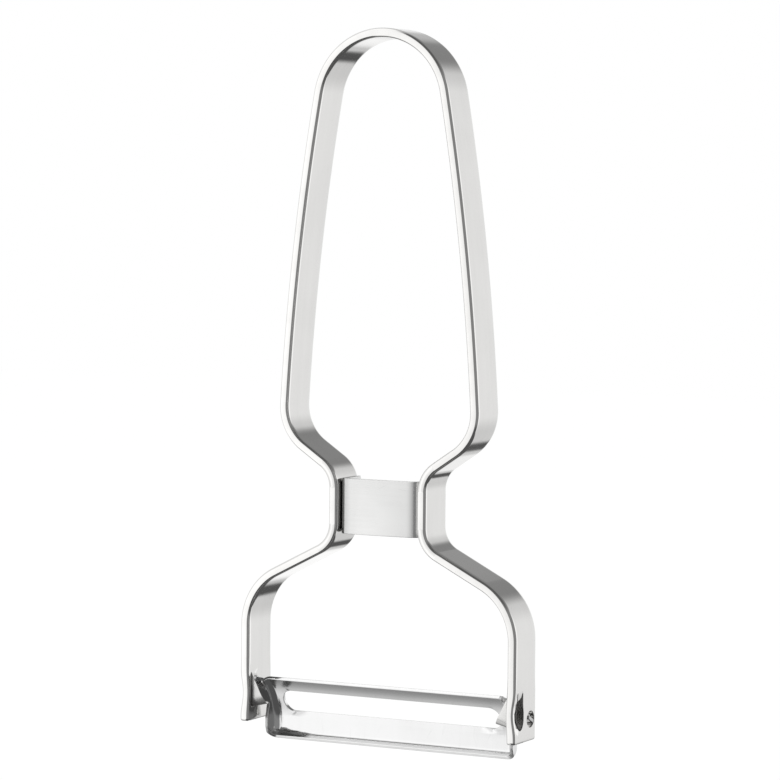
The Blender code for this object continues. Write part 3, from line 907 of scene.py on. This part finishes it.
thin = fade(tree, maths(tree, "ABSOLUTE", sides[1]), half_line, 0.0)
from_middle = maths(tree, "MULTIPLY", maths(tree, "ABSOLUTE", sides[0]), per_metre)
line = maths(tree, "MULTIPLY", thin, fade(tree, from_middle, 0.5, 0.2))
chosen = maths(tree, "LESS_THAN", chance[1], given["Share"])
tree.links.new(maths(tree, "MULTIPLY", line, chosen), result["Scratches"])
scratch_group = tree
print(tree.name, "has", len(tree.nodes), "nodes")

# %% [markdown]
# Handling leaves a faint haze in soft patches, and rubbing brightens the rims in places. Both are
# broad noise: the first in the object's own space, the second kept to the rims by a value that
# each mesh carries from its blank.

# %% Haze and rubbed rims
tree, given, result = new_group("handling haze", {"Place": None, "Patch mm": 12.0}, ["Haze"])
per_metre = maths(tree, "DIVIDE", 1 / MM, given["Patch mm"])
noise = add(tree, "TexNoise", inputs={
    "Vector": given["Place"], "Scale": per_metre, "Detail": 3.0, "Distortion": 0.4})
tree.links.new(fade(tree, noise.outputs[0], 0.35, 0.75), result["Haze"])
haze_group = tree
print(tree.name, "has", len(tree.nodes), "nodes")

tree, given, result = new_group(
    "rubbed rim", {"Place": None, "Rim": 0.0, "Patch mm": 3.0}, ["Rubbed"])
per_metre = maths(tree, "DIVIDE", 1 / MM, given["Patch mm"])
noise = add(tree, "TexNoise", inputs={"Vector": given["Place"], "Scale": per_metre, "Detail": 2.0})
patches = fade(tree, noise.outputs[0], 0.35, 0.6)
tree.links.new(maths(tree, "MULTIPLY", patches, given["Rim"]), result["Rubbed"])
rim_group = tree
print(tree.name, "has", len(tree.nodes), "nodes")


# %% [markdown]
# One function places the groups in each finish with that finish's own values. Grain and scratches
# turn the surface a little through a bump. Grain, haze and rubbing also change the roughness, and
# the colour moves by only a few hundredths, as clean metal does. Where a mesh says that a cut was
# left from the shear, the metal is rough and darker.

# %% Steel finishes
def steel(name, colour, roughness, grain, scratches, haze, relief):
    """Grain is (line width, line length) in mm, scratches is (cell, width) in mm and a share."""
    material = bpy.data.materials.new(name)
    material.use_nodes = True
    tree = material.node_tree
    shader = tree.nodes["Principled BSDF"]
    flat = add(tree, "UVMap", {"uv_map": "grain"}).outputs[0]
    place = add(tree, "TexCoord").outputs["Object"]
    rim, cut = (add(tree, "Attribute", {"attribute_name": label}).outputs["Fac"]
                for label in ("rim", "sheared"))
    lines = use_group(tree, grain_group, {
        "Flat Place": flat, "Line Width mm": grain[0], "Line Length mm": grain[1]})
    cell, width, share = scratches
    scratch = use_group(tree, scratch_group, {
        "Flat Place": flat, "Cell mm": cell, "Width mm": width, "Share": share})[0]
    hazy = use_group(tree, haze_group, {"Place": place})[0]
    rubbed = use_group(tree, rim_group, {"Place": place, "Rim": rim})[0]

    tone = maths(tree, "MULTIPLY_ADD", lines["Bands"], 0.05, 0.975)
    for mark, change in ((hazy, -0.03), (scratch, -0.12), (rubbed, 0.03), (cut, -0.22)):
        tone = maths(tree, "MULTIPLY_ADD", mark, change, tone)
    shade = add(tree, "VectorMath", {"operation": "SCALE"}, {0: colour, "Scale": tone}).outputs[0]
    tree.links.new(shade, shader.inputs["Base Color"])
    rough = maths(tree, "MULTIPLY_ADD", lines["Lines"], 0.08, roughness - 0.04)
    for mark, change in ((hazy, haze), (scratch, 0.15), (rubbed, -0.03), (cut, 0.32)):
        rough = maths(tree, "MULTIPLY_ADD", mark, change, rough)
    tree.links.new(rough, shader.inputs["Roughness"])
    height = maths(tree, "MULTIPLY_ADD", scratch, -1.5, lines["Lines"])
    bump = add(tree, "Bump", inputs={"Height": height, "Distance": relief, "Strength": 1.0})
    tree.links.new(bump.outputs[0], shader.inputs["Normal"])
    shader.inputs["Metallic"].default_value = 1.0
    print(name, "has", len(tree.nodes), "nodes")
    return material


handle.data.materials.append(steel(
    "polished_strip", (0.69, 0.685, 0.675), 0.08, (0.3, 14.0), (5.0, 0.07, 0.4), 0.03, 0.0005 * MM))
spacer.data.materials.append(steel(
    "satin_channel", (0.66, 0.66, 0.655), 0.24, (0.12, 9.0), (4.0, 0.06, 0.2), 0.03, 0.00012 * MM))
blade.data.materials.append(steel(
    "blade_steel_polished", (0.69, 0.69, 0.69), 0.09, (0.3, 9.0), (4.0, 0.06, 0.4), 0.03, 0.0005 * MM))
for item in (lugs, horns):
    item.data.materials.append(blade.data.materials[0])

# %% [markdown]
# The peeler hangs free over a white table, as on a shop's page. The table lies low enough to keep
# its shadow out of the picture. The camera sees it lit from within by three quarters, so it comes
# out white and still darkens under a shadow. From below it is clear, so the peeler shows there too.

# %% Floor
FLOOR_HEIGHT = -0.28
FLOOR_CELLS = 12
bm = bmesh.new()
marks = np.linspace(-3, 3, FLOOR_CELLS + 1)
floor_rows = [[bm.verts.new((x, y, FLOOR_HEIGHT)) for x in marks] for y in marks]
for lower, upper in zip(floor_rows, floor_rows[1:]):
    for n in range(FLOOR_CELLS):
        bm.faces.new((lower[n], lower[n + 1], upper[n + 1], upper[n]))
floor_mesh = bpy.data.meshes.new("floor")
bm.to_mesh(floor_mesh)
bm.free()
floor = new_object("floor", floor_mesh)
floor.visible_glossy = False
print(f"table {-FLOOR_HEIGHT / MM:.0f} mm below the crown's hook")

# %% [markdown]
# The table's colour to the camera is part paper and part glow. Every other ray sees plain paper.

# %% The table's paper
paper = bpy.data.materials.new("white_table")
paper.use_nodes = True
tree = paper.node_tree
seen = add(tree, "LightPath").outputs["Is Camera Ray"]
below = add(tree, "NewGeometry").outputs["Backfacing"]
plain = add(tree, "BsdfDiffuse", inputs={"Color": (0.85, 0.85, 0.85, 1)}).outputs[0]
shaded = add(tree, "BsdfDiffuse", inputs={"Color": (0.32, 0.32, 0.32, 1)}).outputs[0]
glow = add(tree, "Emission", inputs={"Color": (1, 1, 1, 1), "Strength": 0.745}).outputs[0]
white = add(tree, "AddShader", inputs={0: shaded, 1: glow}).outputs[0]
from_above = add(tree, "MixShader", inputs={0: seen, 1: plain, 2: white}).outputs[0]
clear = add(tree, "BsdfTransparent").outputs[0]
table = add(tree, "MixShader", inputs={0: below, 1: from_above, 2: clear}).outputs[0]
tree.links.new(table, tree.nodes["Material Output"].inputs["Surface"])
floor_mesh.materials.append(paper)
print(paper.name, "has", len(tree.nodes), "nodes")

# %% [markdown]
# Polished steel shows the studio, so the studio is drawn for glossy rays alone, by direction. Each
# light in it is a product of smooth fades. X points to the right, y away behind the peeler, and z
# up. Behind the peeler, side and rise tell the angle round the line of sight instead, because that
# is what turns as the strip bends.

# %% Directions in the studio
world = bpy.data.worlds.new("room")
bpy.context.scene.world = world
world.use_nodes = True
tree = world.node_tree
x, y, z = add(tree, "SeparateXYZ", inputs={0: add(tree, "TexCoord").outputs["Generated"]}).outputs
squares = maths(tree, "MULTIPLY_ADD", x, x, maths(tree, "MULTIPLY", z, z))
reach = add(tree, "Clamp", inputs={
    "Value": maths(tree, "SQRT", squares), "Min": 0.4, "Max": 0.5}).outputs[0]
side = maths(tree, "DIVIDE", x, reach)
rise = maths(tree, "DIVIDE", z, reach)


def product(tree, *factors):
    """All the factors multiplied together. A tuple is the ends of a smooth fade."""
    first, *others = [fade(tree, *f) if isinstance(f, tuple) else f for f in factors]
    for factor in others:
        first = maths(tree, "MULTIPLY", first, factor)
    return first


def shift(tree, *factors):
    """One plus the product: a factor that changes a light only where none of its own is zero."""
    return maths(tree, "ADD", product(tree, *factors), 1.0)


# %% [markdown]
# The broad faces of the strip show a white wall behind the peeler. It is brightest at eye level and
# darker at its top, and a lit strip ends it on the right. It stops just short of straight down, and
# that gap draws the thin dark bars at the knees.

# %% The wall
wall = product(
    tree,
    (maths(tree, "ABSOLUTE", rise), 0.25, 0.81, 1.05, 0.82),
    (rise, 0.985, 0.76, 0.36, 1.0),
    (rise, -1.003, -0.955),
    (x, -0.45, -0.10),
    (x, 0.50, 0.58, 1.0, 1.3),
    (x, 0.85, 0.74),
    (y, 0.45, 0.65))
print("with the wall", len(tree.nodes), "nodes")

# %% [markdown]
# The front edges, the blade and the spacer show a broad soft light on the camera's left. Its level
# isn't even, and each shift is a part that differs. In order: the middle in front, high up and low
# down behind the peeler, the underside, the far left, and the low corner that the left ear shows.

# %% The soft light
behind = fade(tree, y, 0.5, 0.8)
soft = product(
    tree,
    (side, 0.0, -0.62, 0.0, 1.42),
    (y, 0.0, 0.45, 1.0, 0.66),
    shift(tree, (y, -0.5, -0.8), (x, -0.60, -0.30, 0.09, -0.22)),
    shift(tree, behind, (rise, 0.43, 0.70, 0.0, -0.38)),
    shift(tree, behind, (rise, -0.21, -0.64, 0.0, 0.22)),
    (z, -0.35, -0.65, 1.0, 0.72),
    shift(tree, (z, -0.35, -0.60), (y, -0.35, 0.30, 0.0, -0.72), (y, 0.82, 0.68)),
    shift(tree, (y, 0.4, 0.0), (x, -0.53, -0.68, 0.0, -0.30)),
    shift(tree, (z, -0.30, -0.50), (y, 0.35, 0.05), (x, -0.435, -0.36, 0.0, -1.0)))
print("with the soft light", len(tree.nodes), "nodes")

# %% [markdown]
# All else is a dim room, darker still towards the floor and the ceiling. Where lights meet, the
# stronger one is seen.

# %% The room
ROOM, ROOM_FLOOR = 0.30, 0.11
dark = product(tree, (z, -0.30, -0.46, ROOM, ROOM_FLOOR), (z, 0.50, 0.75, 1.0, 0.45))
studio = maths(tree, "MAXIMUM", maths(tree, "MAXIMUM", wall, soft), dark)
print("the whole studio", len(tree.nodes), "nodes")

# %% [markdown]
# The world is white to the camera, the studio to glossy and transmitted rays, and a plain level to
# all else. One wide lamp high on the left gives the table a soft shadow.

# %% World and lamp
PLAIN_LEVEL = 0.80
rays = add(tree, "LightPath").outputs
shown = maths(tree, "MAXIMUM", rays["Is Glossy Ray"], rays["Is Transmission Ray"])
level = add(tree, "Mix", {"data_type": "FLOAT"}, {0: shown, 2: PLAIN_LEVEL, 3: studio}).outputs[0]
level = add(tree, "Mix", {"data_type": "FLOAT"},
            {0: rays["Is Camera Ray"], 2: level, 3: 1.0}).outputs[0]
tree.links.new(level, tree.nodes["Background"].inputs["Strength"])
tree.nodes["Background"].inputs["Color"].default_value = (1, 1, 1, 1)
bpy.context.scene.view_settings.view_transform = "Standard"

lamp = new_object("soft_lamp", bpy.data.lights.new("soft_lamp", "AREA"))
lamp.data.shape = "SQUARE"
lamp.data.size = 0.8
lamp.data.energy = 2.5
lamp.location = (-0.9, -0.6, 1.1)
lamp.rotation_euler = Vector(lamp.location).to_track_quat("Z", "Y").to_euler()
lamp.visible_camera = False
lamp.visible_glossy = False
print(f"lamp {lamp.data.size} m wide, {lamp.data.energy} W")

# %% [markdown]
# The camera stands in front, to the right and a little above the blade, with a long lens. Its place
# and lens were found by fitting the strip's edges to the picture.

# %% Camera
camera = new_object("camera", bpy.data.cameras.new("camera"))
bpy.context.scene.camera = camera
camera.data.lens = 161.42
camera.data.sensor_width = 36.0
camera.data.clip_start = 0.01
camera.location = (0.3733, -0.7069, -0.0319)
yaw, pitch, roll = math.radians(27.81), math.radians(-3.46), math.radians(0.49)
turn = Matrix.Rotation(yaw, 4, "Z") @ Matrix.Rotation(RIGHT_ANGLE + pitch, 4, "X")
camera.matrix_world = Matrix.Translation(camera.location) @ turn @ Matrix.Rotation(roll, 4, "Z")
print(f"camera with a {camera.data.lens:.0f} mm lens")
